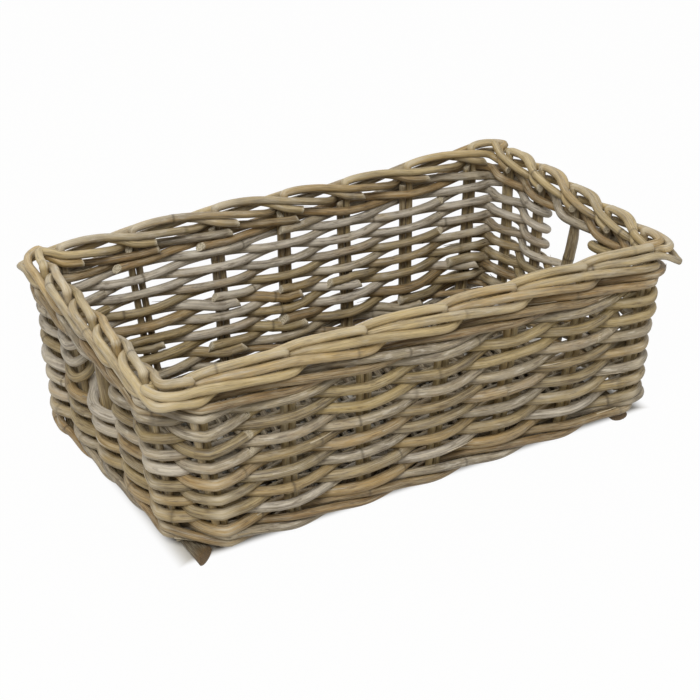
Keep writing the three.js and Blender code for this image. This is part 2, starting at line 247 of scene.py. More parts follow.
def settle(point):
    """The lean and waviness of a hand-made basket, none at the surface it stands on."""
    rim_share = point.z / SETTLED_HEIGHT
    bump = math.exp(-((point.x - SAG_MIDDLE) / SAG_HALF_LENGTH) ** 2)
    at_back = ease((point.y - SAG_EDGE[0]) / SAG_EDGE[1])
    at_left = ease((-point.x - LEFT_EDGE[0]) / LEFT_EDGE[1])
    turned = LEFT_FOOT_TURN * at_left * (1 - rim_share) * point.y / LEFT_HALF_WIDTH
    point = point - Vector((turned, 0, SAG * bump * at_back * ease(rim_share)))
    hold = ease(point.z / FIRM_HEIGHT)
    return point + (wave(point, *SLOW_WAVE) + wave(point, *QUICK_WAVE)) * hold


def wall_point(station, outward, height, sideways=0.0, frame_at=wall_frame):
    """A place by the wall: station, distance out of its middle, height, step sideways."""
    plan, out = frame_at(station, height)
    x = plan.x + out.x * outward - out.y * sideways
    y = plan.y + out.y * outward + out.x * sideways
    return Vector((x, y, height))


def runner_lift(station):
    """How much of the lift over the runners the weave has at a station."""
    turned = station % STATIONS
    low = math.floor(turned)
    values = []
    for near in (low, (low + 1) % STATIONS):
        side = side_of(near)
        corner = near in (side.first, side.last)
        usual = 1.0 if not side.long else CORNER_LIFT if corner else 0.0
        values.append(LIFTS.get(near, usual))
    return values[0] + (values[1] - values[0]) * ease(turned - low)


def weave_point(station, outward, height, sideways=0.0):
    """A place in the weave, which rides up over the runners near the ends."""
    fade = max(0.0, 1 - height / LIFT_FADE)
    lifted = height + RUNNER_LIFT * runner_lift(station) * fade
    return wall_point(station, outward, lifted, sideways, weave_frame)


def is_post(station):
    return station % STATIONS in (RIGHT_POST, LEFT_POST)


def reach_at(station, radius, outside):
    """How far from the wall's middle a rod's centre passes an upright."""
    turned = station % STATIONS
    if is_post(turned):
        return POST_RADIUS + radius + TOUCH
    tight = STAKE_RADIUS + radius + TOUCH
    side = side_of(turned)
    corner = turned in (side.first, side.last)
    return tight * (CORNER_SPRING if outside and corner else SPRING)


def resample(points, values, step):
    """Points at even steps along a line, with the values that go with them."""
    places = np.array([tuple(p) for p in points])
    spans = np.linalg.norm(np.diff(places, axis=0), axis=1)
    gone = np.concatenate([[0], np.cumsum(spans)])
    count = max(2, int(round(gone[-1] / step)) + 1)
    marks = np.linspace(0, gone[-1], count)
    out = np.stack([np.interp(marks, gone, places[:, axis]) for axis in range(3)], 1)
    spread = [np.interp(marks, gone, np.array(v, float)) for v in values]
    return out, spread, marks


def rounded(controls, values, per_span=14):
    """A smooth line through control points, with values that follow it."""
    points = [Vector(p) for p in controls]
    first = points[0] * 2 - points[1]
    final = points[-1] * 2 - points[-2]
    padded = [first] + points + [final]
    line, spread = [], [[] for _ in values]
    for index in range(1, len(padded) - 2):
        a, b, c, d = padded[index - 1:index + 3]

        # Knots at the square root of the distance, so that sharp bends don't overshoot
        knots = [0.0]
        for p, q in ((a, b), (b, c), (c, d)):
            knots.append(knots[-1] + max((q - p).length, 1e-6) ** 0.5)
        last_span = index == len(padded) - 3
        for tick in range(per_span + (1 if last_span else 0)):
            part = tick / per_span
            t = knots[1] + (knots[2] - knots[1]) * part
            ab = a.lerp(b, (t - knots[0]) / (knots[1] - knots[0]))
            bc = b.lerp(c, (t - knots[1]) / (knots[2] - knots[1]))
            cd = c.lerp(d, (t - knots[2]) / (knots[3] - knots[2]))
            abc = ab.lerp(bc, (t - knots[0]) / (knots[2] - knots[0]))
            bcd = bc.lerp(cd, (t - knots[1]) / (knots[3] - knots[1]))
            line.append(abc.lerp(bcd, (t - knots[1]) / (knots[2] - knots[1])))
            for column, value in zip(spread, values):
                low, high = value[index - 1], value[min(index, len(value) - 1)]
                column.append(low + (high - low) * part)
    return line, spread


# Node trees

def add(tree, kind, inputs=(), **settings):
    """Adds a node with its settings, sets or links its inputs, and gives its first output."""
    node = tree.nodes.new(kind)
    for name, value in settings.items():
        setattr(node, name, value)
    sockets = [socket for socket in node.inputs if socket.enabled]
    for key, value in inputs.items() if isinstance(inputs, dict) else enumerate(inputs):
        here = sockets[key] if isinstance(key, int) else next(s for s in sockets if s.name == key)
        if isinstance(value, bpy.types.NodeSocket):
            tree.links.new(value, here)
        else:
            here.default_value = value
    outputs = [socket for socket in node.outputs if socket.enabled]
    return outputs[0] if outputs else node


def maths(tree, operation, *values, **settings):
    return add(tree, "ShaderNodeMath", values, operation=operation, **settings)


def vector_maths(tree, operation, *values):
    return add(tree, "ShaderNodeVectorMath", values, operation=operation)


def blended(tree, share, under, over):
    """A colour with a share of another over it."""
    return add(tree, "ShaderNodeMix", {"Factor": share, "A": under, "B": over},
               data_type="RGBA")


def emptied(owner):
    """The node tree of a material or world, without the nodes it comes with."""
    owner.use_nodes = True
    owner.node_tree.nodes.clear()
    return owner.node_tree


def cane_tree():
    """Geometry Nodes: rods of cane along lines of points, shaped by the points' own values.

    thickness is the radius, press a direction in which the rod is squeezed flat, and slant
    the slope of a cut end. cane_place keeps each point's place on the rod laid out straight.
    """
    tree = bpy.data.node_groups.new("cane_rod", "GeometryNodeTree")
    for name, kind in (("Line", "Geometry"), ("Sides", "Int"), ("Relief", "Float"),
                       ("Relief length", "Float"), ("Seed", "Float"), ("Finish", "Material")):
        tree.interface.new_socket(name, in_out="INPUT", socket_type="NodeSocket" + kind)
    tree.interface.new_socket("Rod", in_out="OUTPUT", socket_type="NodeSocketGeometry")
    start = add(tree, "NodeGroupInput").node.outputs
    point = {}
    for name, kind in (("thickness", "FLOAT"), ("along", "FLOAT"), ("press", "FLOAT_VECTOR"),
                       ("slant", "FLOAT_VECTOR"), ("core", "FLOAT_VECTOR"),
                       ("heading", "FLOAT_VECTOR"), ("around", "FLOAT_VECTOR")):
        point[name] = add(tree, "GeometryNodeInputNamedAttribute", {"Name": name}, data_type=kind)
    place = add(tree, "GeometryNodeInputPosition")
    line = add(tree, "GeometryNodeMeshToCurve", {"Mesh": start["Line"]})
    circle = add(tree, "GeometryNodeCurvePrimitiveCircle",
                 {"Resolution": start["Sides"], "Radius": 1.0})
    kept = {}
    for shape, name, value in ((line, "core", place), (circle, "around", place),
                               (None, "heading", add(tree, "GeometryNodeInputTangent"))):
        kept[name] = add(tree, "GeometryNodeStoreNamedAttribute",
                         {"Geometry": shape or kept["core"], "Name": name, "Value": value},
                         data_type="FLOAT_VECTOR", domain="POINT")
    rod = add(tree, "GeometryNodeCurveToMesh",
              {"Curve": kept["heading"], "Profile Curve": kept["around"],
               "Scale": point["thickness"], "Fill Caps": True})

    # Squeezed flat, cut on the slant, and a little uneven along its length
    arm = vector_maths(tree, "SUBTRACT", place, point["core"])
    squeeze = vector_maths(tree, "DOT_PRODUCT", arm, point["press"])
    pressed = vector_maths(tree, "SCALE", point["press"], squeeze)
    slope = vector_maths(tree, "DOT_PRODUCT", arm, point["slant"])
    slid = vector_maths(tree, "SCALE", point["heading"], slope)
    shift = vector_maths(tree, "SUBTRACT", slid, pressed)
    far = maths(tree, "DIVIDE", point["along"], start["Relief length"])
    near = vector_maths(tree, "SCALE", point["around"], 0.55)
    spot = vector_maths(tree, "ADD", near, add(tree, "ShaderNodeCombineXYZ", {"Z": far}))
    lumps = add(tree, "ShaderNodeTexNoise",
                {"Vector": spot, "W": start["Seed"], "Scale": 1.0, "Detail": 2.0},
                noise_dimensions="4D")
    centred = maths(tree, "SUBTRACT", lumps, 0.5)
    swell = maths(tree, "MULTIPLY", centred, start["Relief"])
    outward = vector_maths(tree, "NORMALIZE", arm)
    lump = vector_maths(tree, "SCALE", outward, swell)
    moved = vector_maths(tree, "ADD", shift, lump)
    rod = add(tree, "GeometryNodeSetPosition", {"Geometry": rod, "Offset": moved})

    # The rod laid out straight, for its finish
    wide = vector_maths(tree, "SCALE", point["around"], point["thickness"])
    length = add(tree, "ShaderNodeCombineXYZ", {"Z": point["along"]})
    straight = vector_maths(tree, "ADD", wide, length)
    rod = add(tree, "GeometryNodeStoreNamedAttribute",
              {"Geometry": rod, "Name": "cane_place", "Value": straight},
              data_type="FLOAT_VECTOR", domain="POINT")
    for spent in point:
        rod = add(tree, "GeometryNodeRemoveAttribute", {"Geometry": rod, "Name": spent})
    rod = add(tree, "GeometryNodeRealizeInstances", {"Geometry": rod})
    rod = add(tree, "GeometryNodeSetMaterial", {"Geometry": rod, "Material": start["Finish"]})
    add(tree, "NodeGroupOutput", (rod,))
    return tree


CANE_TREE = cane_tree()
CANE_INPUTS = {
    item.name: item.identifier
    for item in CANE_TREE.interface.items_tree if item.in_out == "INPUT"
}


def linear(hex_colour):
    """An sRGB hex colour as linear red, green, blue and alpha."""
    parts = [int(hex_colour[i:i + 2], 16) / 255 for i in (1, 3, 5)]
    turned = [c / 12.92 if c <= 0.04045 else ((c + 0.055) / 1.055) ** 2.4 for c in parts]
    return (*turned, 1.0)


# The patterns in the cane's skin: width across the rod and length along it in millimetres,
# detail, and a shift so that they don't repeat each other
CANE_PATTERNS = {
    "fibres": (0.7, 24, 3, 0),
    "strands": (1.9, 55, 4, 7),
    "blotches": (5, 17, 4, 3),
    "flakes": (2.4, 13, 4, 13),
    "drift": (14, 130, 2, 5),
    "cracks": (1.15, 48, 2, 11),
    "pores": (0.8, 0.8, 1, 2),
}

# What is drawn from them: the pattern, its value where the layer starts and where it is
# full, and how strongly it covers there
CANE_LAYERS = {
    "split": ("cracks", 0.66, 0.74, 0.6),
    "fine": ("fibres", 0.42, 0.7, 0.46),
    "flaked": ("flakes", 0.54, 0.64, 0.6),
    "stained": ("flakes", 0.44, 0.34, 1.0),
    "ragged": ("strands", 0.38, 0.6, 0.8),
    "pore": ("pores", 0.5, 0.62, 1.0),
}

# How much of each pattern makes a place grey or deep in tone, and where that starts
GREY_WEIGHTS = {"drift": 0.9, "blotches": 0.9}
GREY_EDGES = (1.04, 1.84)
DEEP_WEIGHTS = {"strands": 2.3, "blotches": 0.8}
DEEP_START = 1.52

# How flaked a place is when it is grey and at least, how strong a node ring is, how much
# rougher fibres and scuffs are, how deep cracks are and how far the skin stands out
FLAKED_SHARES = (0.7, 0.2)
RING_COVER = 0.75
FIBRE_ROUGHNESS = 0.25
SCUFF_ROUGHNESS = 0.2
CRACK_DEPTH = -2.0
SKIN_RELIEF = 0.35 * MM
SKIN_RELIEF_SHARE = 0.75


def weighed(tree, value, weights, seen):
    """A value with a share of each of some patterns added to it."""
    for label, weight in weights.items():
        value = maths(tree, "MULTIPLY_ADD", seen[label], weight, value)
    return value


def cane_material(name, tan, tan_dark, honey, grey, grey_dark, gloss, stains=0.55,
                  cut_ends=("#cfc4aa", "#8a7b60")):
    """Natural cane with its skin on: long fibres, mottled tan and grey, dark node rings,
    fine cracks, pale scuffed bends and paler cut ends with open pores."""
    material = bpy.data.materials.new(name)
    tree = emptied(material)
    read = {}
    for label in ("cane_place", "cane_tone_and_painted_shade", "cane_marks"):
        read[label] = add(tree, "ShaderNodeAttribute", attribute_name=label,
                          attribute_type="GEOMETRY").node.outputs["Vector"]
    tone = add(tree, "ShaderNodeSeparateXYZ", (read["cane_tone_and_painted_shade"],)).node.outputs
    marks = add(tree, "ShaderNodeSeparateXYZ", (read["cane_marks"],)).node.outputs
    seen = {}
    for label, (width, length, detail, shift) in CANE_PATTERNS.items():
        scale = (1 / (width * MM), 1 / (width * MM), 1 / (length * MM))
        laid = vector_maths(tree, "MULTIPLY_ADD", read["cane_place"], scale, (shift,) * 3)
        seen[label] = add(tree, "ShaderNodeTexNoise",
                          {"Vector": laid, "Scale": 1.0, "Detail": detail, "Roughness": 0.6})

    # How grey each place is, and how deep its tone, which on the uprights also holds their
    # painted shade
    grey_part = add(tree, "ShaderNodeMapRange",
                    {"Value": weighed(tree, tone["X"], GREY_WEIGHTS, seen),
                     "From Min": GREY_EDGES[0], "From Max": GREY_EDGES[1]},
                    interpolation_type="SMOOTHSTEP")
    deep_tone_and_painted_shade = weighed(tree, tone["Y"], DEEP_WEIGHTS, seen)
    deep_tone_and_painted_shade = maths(tree, "SUBTRACT", deep_tone_and_painted_shade, DEEP_START, use_clamp=True)
    skin = blended(tree, tone["Z"], linear(tan), linear(honey))
    skin = blended(tree, deep_tone_and_painted_shade, skin, linear(tan_dark))
    weathered = blended(tree, deep_tone_and_painted_shade, linear(grey), linear(grey_dark))
    colour = blended(tree, grey_part, skin, weathered)

    # Light fibres, dark cracks and node rings, scuffs and cut ends, one over the other
    layer = {}
    for label, (pattern, start, full, most) in CANE_LAYERS.items():
        layer[label] = add(tree, "ShaderNodeMapRange",
                           {"Value": seen[pattern], "From Min": start, "From Max": full,
                            "To Max": stains if label == "stained" else most},
                           interpolation_type="SMOOTHSTEP" if label == "split" else "LINEAR")
    flaked = maths(tree, "MULTIPLY_ADD", grey_part, *FLAKED_SHARES)
    flaked = maths(tree, "MULTIPLY", layer["flaked"], flaked)
    worn = maths(tree, "MULTIPLY", marks["Y"], layer["ragged"])
    ring = maths(tree, "MULTIPLY", marks["X"], RING_COVER)
    grain = blended(tree, layer["pore"], linear(cut_ends[0]), linear(cut_ends[1]))
    for cover, shade in ((layer["fine"], "#d2c4a2"), (flaked, "#d6cdbb"),
                         (layer["stained"], "#4d3b26"), (layer["split"], "#30251a"),
                         (ring, "#43351f"), (worn, "#d9ccb0"), (marks["Z"], grain)):
        over = linear(shade) if isinstance(shade, str) else shade
        colour = blended(tree, cover, colour, over)

    rough = maths(tree, "MULTIPLY_ADD", seen["fibres"], FIBRE_ROUGHNESS, gloss)
    rough = maths(tree, "MULTIPLY_ADD", worn, SCUFF_ROUGHNESS, rough, use_clamp=True)
    relief = maths(tree, "ADD", seen["fibres"], seen["strands"])
    relief = maths(tree, "MULTIPLY_ADD", layer["split"], CRACK_DEPTH, relief)
    bump = add(tree, "ShaderNodeBump", {"Strength": SKIN_RELIEF_SHARE,
                                        "Distance": SKIN_RELIEF, "Height": relief})
    shader = add(tree, "ShaderNodeBsdfPrincipled",
                 {"Base Color": colour, "Roughness": rough, "IOR": 1.5, "Normal": bump})
    add(tree, "ShaderNodeOutputMaterial", {"Surface": shader})
    return material


# Grey rattan, soaked and dried until its skin is dull and mottled: the weavers and wales
# are matt, the uprights and their border smoother and warmer, and the base darker, as painted
# shade for the shade inside and under the basket
FINISHES = {
    "weaver_cane": cane_material(
        "kubu_cane_weaver", "#a58f5e", "#503f25", "#a2804a", "#a69a86", "#5a5042", 0.4),
    "grey_weaver_cane": cane_material(
        "weathered_kubu_cane", "#a08b5e", "#4c3d26", "#9a7945", "#cbc2b3", "#655a4c", 0.45),
    "wale_cane": cane_material(
        "kubu_cane_wale", "#9f895d", "#4d3d25", "#9c7743", "#a59a87", "#5a4f41", 0.4),
    "stake_cane": cane_material(
        "kubu_cane_stake", "#bea877", "#604c2e", "#b3935a", "#b8ad97", "#6d6152", 0.34, 0.25),
    # Darker than the cane's own colour: painted shade for the shaded floor of the basket and its
    # runners
    "base_cane": cane_material(
        "shade_darkened_kubu_cane", "#5c4b31", "#2f2417", "#523f26", "#5e5547", "#3a3228", 0.5, 0.5,
        ("#6d5738", "#3f311f")),
}


# Node rings and the swelling at them, and the slant of cut ends
RING_WIDTH = 1.1 * MM
RING_SPACINGS = (150, 330)
SWELL_WIDTH = 3.2 * MM
SWELL_SHARE = 0.07
CUT_SLOPES = (0.35, 1.0)
CUT_ROOM = 0.5 * MM

# Where on the patterns of the skin a length starts, in metres, so that no two match
PATTERN_STARTS = (1, 40)

# Unevenness of a rod's surface: its depth, in the wall and in the base, its scale along
# the rod, and its change from rod to rod
RELIEF = 0.32 * MM
BASE_RELIEF = 0.2 * MM
RELIEF_LENGTH = 14 * MM
RELIEF_SEED_STEP = 0.37


def node_rings(marks, first, spacing, radius):
    """How strongly each place lies on a node ring of the cane, and the swelling there."""
    away = np.abs((marks - first + spacing / 2) % spacing - spacing / 2)
    line = np.exp(-(away / RING_WIDTH) ** 2)
    swelling = np.exp(-(away / SWELL_WIDTH) ** 2) * radius * SWELL_SHARE
    return line, swelling


class Cane:
    """One length of cane: a line with its radii and its tone, and along the line where it is
    scuffed, how much painted shade darkens its tone, a value below zero being painted light, and
    where a sharp bend has cracked it."""

    def __init__(self, points, radii, tone, scuffs=None, press=None, ends=(True, True),
                 painted_shades=None, cracks=None):
        self.points = points
        self.radii = radii
        self.tone = tone
        self.scuffs = scuffs or [0.0] * len(points)
        self.press = press
        self.ends = ends
        self.painted_shades = painted_shades or [0.0] * len(points)
        self.cracks = cracks or [0.0] * len(points)


def cane_lines(canes, rng):
    """A mesh of bare lines, one for each length of cane, with the values of its points."""
    columns = defaultdict(list)
    vertices, edges = [], []
    for cane in canes:
        values = [cane.radii, cane.scuffs, cane.painted_shades, cane.cracks]
        if cane.press is not None:
            values += [[p[axis] for p in cane.press] for axis in range(3)]
        places, spread, marks = resample(cane.points, values, SAMPLE_STEP)
        slope = rng.uniform(*CUT_SLOPES)
        keep = np.ones(len(places), bool)
        reach = cane.radii[0] * slope + CUT_ROOM
        if cane.ends[0]:
            keep &= (marks >= reach) | (marks == 0)
        if cane.ends[1]:
            keep &= (marks <= marks[-1] - reach) | (marks == marks[-1])
        places, marks = places[keep], marks[keep]
        radii, scuffs = spread[0][keep], spread[1][keep]
        presses = np.zeros((len(places), 3))
        if cane.press is not None:
            presses = np.stack([v[keep] for v in spread[4:7]], 1)
        slants = np.zeros((len(places), 3))
        cut = np.zeros(len(places))
        lean = Vector((rng.uniform(-1, 1), rng.uniform(-1, 1), rng.uniform(0.2, 1))).normalized()
        for index in (0, -1):
            if cane.ends[index]:
                slants[index] = np.array(lean) * slope * (1 if index == 0 else -1)
                cut[index] = 1
        spacing = rng.uniform(*RING_SPACINGS) * MM
        ring, swelling = node_rings(marks, rng.uniform(0, 1) * spacing, spacing, cane.radii[0])
        offset = rng.uniform(*PATTERN_STARTS)
        first = len(vertices)
        vertices += [tuple(p) for p in places]
        edges += [(first + i, first + i + 1) for i in range(len(places) - 1)]
        columns["thickness"].append(radii + swelling)
        columns["along"].append(marks + offset)
        columns["press"].append(presses)
        columns["slant"].append(slants)
        tones = np.tile(np.array(cane.tone), (len(places), 1))
        # The darkness of the tone gets the painted shade of the uprights below the border,
        # lighter where it is painted light
        tones[:, 1] += spread[2][keep]
        columns["cane_tone_and_painted_shade"].append(tones)
        ring = np.maximum(ring, spread[3][keep])
        columns["cane_marks"].append(np.stack([ring, scuffs, cut], 1))
    mesh = bpy.data.meshes.new("cane_lines")
    mesh.from_pydata(vertices, edges, [])
    for name, parts in columns.items():
        data = np.concatenate(parts).astype(np.float32)
        kind = "FLOAT" if data.ndim == 1 else "FLOAT_VECTOR"
        layer = mesh.attributes.new(name, kind, "POINT")
        layer.data.foreach_set("value" if data.ndim == 1 else "vector", data.ravel())
    return mesh


def placed(name, data):
    """A new object in the scene."""
    thing = bpy.data.objects.new(name, data)
    bpy.context.scene.collection.objects.link(thing)
    return thing


def weave(node, slot, canes, seed, sides=14, relief=RELIEF):
    """Makes one piece from its lengths of cane, in place of its CAD node."""
    rng = random.Random(seed)
    name = node + "_cane"
    lines = placed(name + "_lines", cane_lines(canes, rng))
    builder = lines.modifiers.new("cane", "NODES")
    builder.node_group = CANE_TREE
    sizes = {"Sides": sides, "Relief": relief, "Relief length": RELIEF_LENGTH,
             "Seed": seed * RELIEF_SEED_STEP, "Finish": FINISHES[slot]}
    for label, value in sizes.items():
        builder[CANE_INPUTS[label]] = value
    bpy.context.view_layer.update()
    evaluated = lines.evaluated_get(bpy.context.evaluated_depsgraph_get())
    mesh = bpy.data.meshes.new_from_object(evaluated)
    bare = lines.data
    bpy.data.objects.remove(lines)
    bpy.data.meshes.remove(bare)
    mesh.name = name
    piece = placed(name, mesh)
    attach(piece, "root")
    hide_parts(node)


# Weavers: the steps in a bay and in a fold, how the halves of a folded rod overlap and how
# close it folds, how far a length goes past its joins, how thick, grey and dark lengths
# are, how they are scuffed at the corners, and how soon an end comes to its level

TICKS = 30
FOLD_TICKS = 16
FOLD_OVERLAP = 8
FOLD_CLOSENESS = 0.9
TAILS = (0.1, 0.4)
THICKNESSES = (0.88, 1.12)
FRONT_THINNING = 0.97
BACK_THINNING = 0.88
BACK_GREYER = 0.4
BACK_WIDER_SHADES = 0.12
GREYS = (0.6, 1.0)
TANS = (0.0, 0.4)
SHADES = (0.15, 0.6)
BEND_SCUFF = 0.85
BEND_REACH = 0.2
END_RISE = 0.5

# Peeled strips: how many on a length, and their points, place, size, turn and look
SLIVERS = 3
SLIVER_POINTS = (7, 15)
SLIVER_ROOM = (8, 24)
SLIVER_LIFTS = (0.8, 3.2)
SLIVER_RADII = (0.35, 0.7)
SLIVER_TURNS = (-0.4, 1.2)
SLIVER_TAPER = (1.15, 0.8)
SLIVER_GREYS = (0.3, 0.8)
SLIVER_TONE = (0.1, 0.2)
SLIVER_SCUFF = 0.9

CORNER_UPRIGHTS = [end for side in SIDES for end in (side.first, side.last)]


def weaver_place(station, outside_at, height, radius, slacks):
    """Where a rod of the wall is: outside at every second upright, and level but for
    the slack that it has beside each upright. It crosses over somewhere near the middle
    of each bay."""
    low = math.floor(station)
    part = station - low
    sign = 1 if (low - outside_at) % 2 == 0 else -1
    here = sign * reach_at(low, radius, sign > 0)
    there = -sign * reach_at(low + 1, radius, sign < 0)
    early = CROSSING_SHIFT * slacks[(low * 5 + 3) % STATIONS] / ROD_SLACK
    crossing = part + early * math.sin(math.pi * part)
    blend = crossing - BEND_ROUNDNESS * math.sin(2 * math.pi * crossing) / (2 * math.pi)
    outward = here + (there - here) * blend
    near = low % STATIONS if part < 0.5 else (low + 1) % STATIONS
    slack = slacks[near] * math.cos(math.pi * part) ** 2
    side = side_of(low % STATIONS)
    if low % STATIONS == side.last:
        outward += CORNER_BULGE * math.sin(math.pi * part)
    return weave_point(station, outward, height + slack)


def slacks_of(rng):
    return [rng.uniform(-ROD_SLACK, ROD_SLACK) for _ in range(STATIONS)]


def wale_place(station, inside_at, height):
    """Where one rod of a wale is: inside one upright, then outside two, falling."""
    outs = [-1, 0, 1, 1, 1, 0]
    climbs = [0, 1, 1, 0, -1, -1]
    phase = ((station - inside_at) % 3) * 2
    low = math.floor(phase)
    t = phase - low

    def through(values):
        a, b, c, d = (values[(low + i) % 6] for i in (-1, 0, 1, 2))
        return 0.5 * (2 * b + (c - a) * t + (2 * a - 5 * b + 4 * c - d) * t * t
                      + (3 * b - a - 3 * c + d) * t ** 3)

    near = math.floor(station)
    share = ease(station - near)
    outside = through(outs) > 0
    reach = reach_at(near, WALE_RADIUS, outside) * (1 - share)
    reach += reach_at(near + 1, WALE_RADIUS, outside) * share
    return weave_point(station, through(outs) * reach, height + through(climbs) * WALE_RISE)


def cut_lengths(place, height, joins, stack, radius, rng, tones):
    """The lengths of cane that make one round, with their ends stacked inside at each join.

    place gives the rod's place at a station and a height, and stack is how far the end of
    the old length lies above the start of the new one, halved.
    """
    canes = []
    joins = sorted(joins)
    for index, join in enumerate(joins):
        following = joins[(index + 1) % len(joins)]
        if following <= join:
            following += STATIONS
        points, scuffs = [], []
        first, last = join - rng.uniform(*TAILS), following + rng.uniform(*TAILS)
        count = int((last - first) * TICKS)
        for tick in range(count + 1):
            station = first + (last - first) * tick / count
            begun = ease((station - join) / END_RISE)
            ended = ease((following - station) / END_RISE)
            inner = min(max(station, join), following)
            level = height + (-stack * (1 - begun) + stack * (1 - ended))
            if station == inner:
                points.append(place(station, level))
            else:
                points.append(weave_point(station, -reach_at(inner, radius, False), level))
            bend = min(abs((station - upright + HALF_ROUND) % STATIONS - HALF_ROUND)
                       for upright in CORNER_UPRIGHTS)
            scuffs.append(BEND_SCUFF * max(0.0, 1 - bend / BEND_REACH))
        size = radius * rng.uniform(*THICKNESSES)
        if on_back(join, following):
            size *= BACK_THINNING
        points = [settle(p) for p in points]
        cane = Cane(points, [size] * len(points), tones[index % len(tones)], scuffs)
        canes += [cane] + slivers(cane, rng)
    return canes


def on_back(first, last):
    """Whether a length of cane is mostly in the back wall."""
    back = SIDES[2]
    return back.first - 1 < (first + last) / 2 % STATIONS < back.last + 1


def round_tones(joins, grey_share, rng):
    """The tones of the lengths in one round: more of them are grey in the back wall."""
    joins = sorted(joins)
    tones = []
    for first, last in zip(joins, joins[1:] + [joins[0] + STATIONS]):
        back = on_back(first, last)
        greyer = grey_share + (BACK_GREYER if back else 0.0)
        tones.append(cane_tone_and_painted_shade(rng, greyer, BACK_WIDER_SHADES if back else 0.0))
    return tones


def slivers(cane, rng):
    """Short pale strips of skin that have peeled away from a length of cane."""
    strips = []
    for _ in range(SLIVERS):
        first = rng.randrange(SLIVER_ROOM[0],
                              max(SLIVER_ROOM[0] + 1, len(cane.points) - SLIVER_ROOM[1]))
        span = cane.points[first:first + rng.randrange(*SLIVER_POINTS)]
        if len(span) < 4:
            continue
        heading = (span[-1] - span[0]).normalized()
        up = Vector((0, 0, 1)) - heading * heading.z
        side = heading.cross(up).normalized()
        angle = rng.uniform(*SLIVER_TURNS)
        away = (side * math.cos(angle) + up.normalized() * math.sin(angle)).normalized()
        radius = cane.radii[0]
        lifted = rng.uniform(*SLIVER_LIFTS) * MM
        strip = []
        for index, point in enumerate(span):
            part = index / (len(span) - 1)
            strip.append(point + away * (radius + lifted * part * part))
        size = rng.uniform(*SLIVER_RADII) * MM
        wide, less = SLIVER_TAPER
        sizes = [size * (wide - less * i / len(strip)) for i in range(len(strip))]
        tone = (rng.uniform(*SLIVER_GREYS), *SLIVER_TONE)
        scuffs = [SLIVER_SCUFF] * len(strip)
        strips.append(Cane(strip, sizes, tone, scuffs, ends=(False, False)))
    return strips


def tone_from(rng, greys, darks):
    """A length's own tone: how grey, how dark and how honey-coloured it is."""
    return (rng.uniform(*greys), rng.uniform(*darks), rng.uniform(0, 1) ** 2)


def cane_tone_and_painted_shade(rng, grey_share, wider=0.0):
    """The tone of a weaver, which is either grey or tan."""
    greys = GREYS if rng.random() < grey_share else TANS
    return tone_from(rng, greys, (SHADES[0] - wider, SHADES[1] + wider))


def full_rod(row, letter, outside_at, joins, grey_share):
    """One rod of a row that goes all the way round: a is the lower one and b the upper."""
    height = FIRST_ROD + (2 * row + (letter == "b")) * ROD_PITCH
    rng = random.Random(row * 10 + outside_at + 100)
    slacks = slacks_of(rng)

    def place(station, level):
        return weaver_place(station, outside_at, level, WEAVER_RADIUS, slacks)

    tones = round_tones(joins, grey_share, rng)
    canes = cut_lengths(place, height, joins, WEAVER_RADIUS, WEAVER_RADIUS, rng, tones)
    slot = "weaver_cane" if letter == "a" else "grey_weaver_cane"
    weave(f"row_{row + 1}_rod_{letter}", slot, canes, 200 + row * 2 + outside_at)


def wale(prefix, number, height, inside_at, joins, grey_share):
    rng = random.Random(len(prefix) * 100 + number)

    def place(station, level):
        return wale_place(station, inside_at, level)

    tones = [cane_tone_and_painted_shade(rng, grey_share) for _ in joins]
    canes = cut_lengths(place, height, joins, -WALE_RADIUS, WALE_RADIUS, rng, tones)
    seed = 300 + number + len(prefix) * 10
    weave(f"{prefix}_wale_rod_{number}", "wale_cane", canes, seed)


def folded_rod(row, side_name, first, stations, grey_share):
    """A rod beside the hand holes: it runs along the lower half of its row, folds round
    the upright at the hole and comes back along the upper half."""
    low = FIRST_ROD + 2 * row * ROD_PITCH
    seed = 400 + row * 2 + (side_name == "back")
    rng = random.Random(seed)
    last = first + stations - 1
    radius = WEAVER_RADIUS * (BACK_THINNING if side_name == "back" else FRONT_THINNING)

    def run(outside_at, height):
        slacks = slacks_of(rng)
        slacks[first % STATIONS] = slacks[last % STATIONS] = 0
        return [weaver_place(first + tick / TICKS, outside_at, height, radius, slacks)
                for tick in range((stations - 1) * TICKS + 1)]

    def fold(station, direction):
        reach = reach_at(station, radius, False)
        bends = []
        for tick in range(1, FOLD_TICKS):
            angle = math.pi * (0.5 - tick / FOLD_TICKS)
            sideways = direction * (PAIR_HALF * FOLD_CLOSENESS + reach * math.cos(angle))
            level = low + ROD_PITCH * ease(tick / FOLD_TICKS)
            bends.append(weave_point(station, reach * math.sin(angle), level, sideways))
        return bends

    points = run(first, low) + fold(last, 1)
    points += list(reversed(run(first + 1, low + ROD_PITCH)))
    points += list(reversed(fold(first, -1)))
    turn = TICKS * (stations // 2) // 2
    points = points[turn:] + points[:turn + 1]
    points = [settle(p) for p in points]
    half = len(points) // 2
    canes = []
    for part in (points[:half + FOLD_OVERLAP], points[half:]):
        canes.append(Cane(part, [radius] * len(part), cane_tone_and_painted_shade(rng, grey_share)))
    slot = "grey_weaver_cane" if side_name == "back" else "weaver_cane"
    weave(f"row_{row + 1}_{side_name}_rod", slot, canes, seed)


# Uprights and the border that they turn into. A step of a hook or of the border is how
# far along it lies in stations, and how far out and up in lanes.

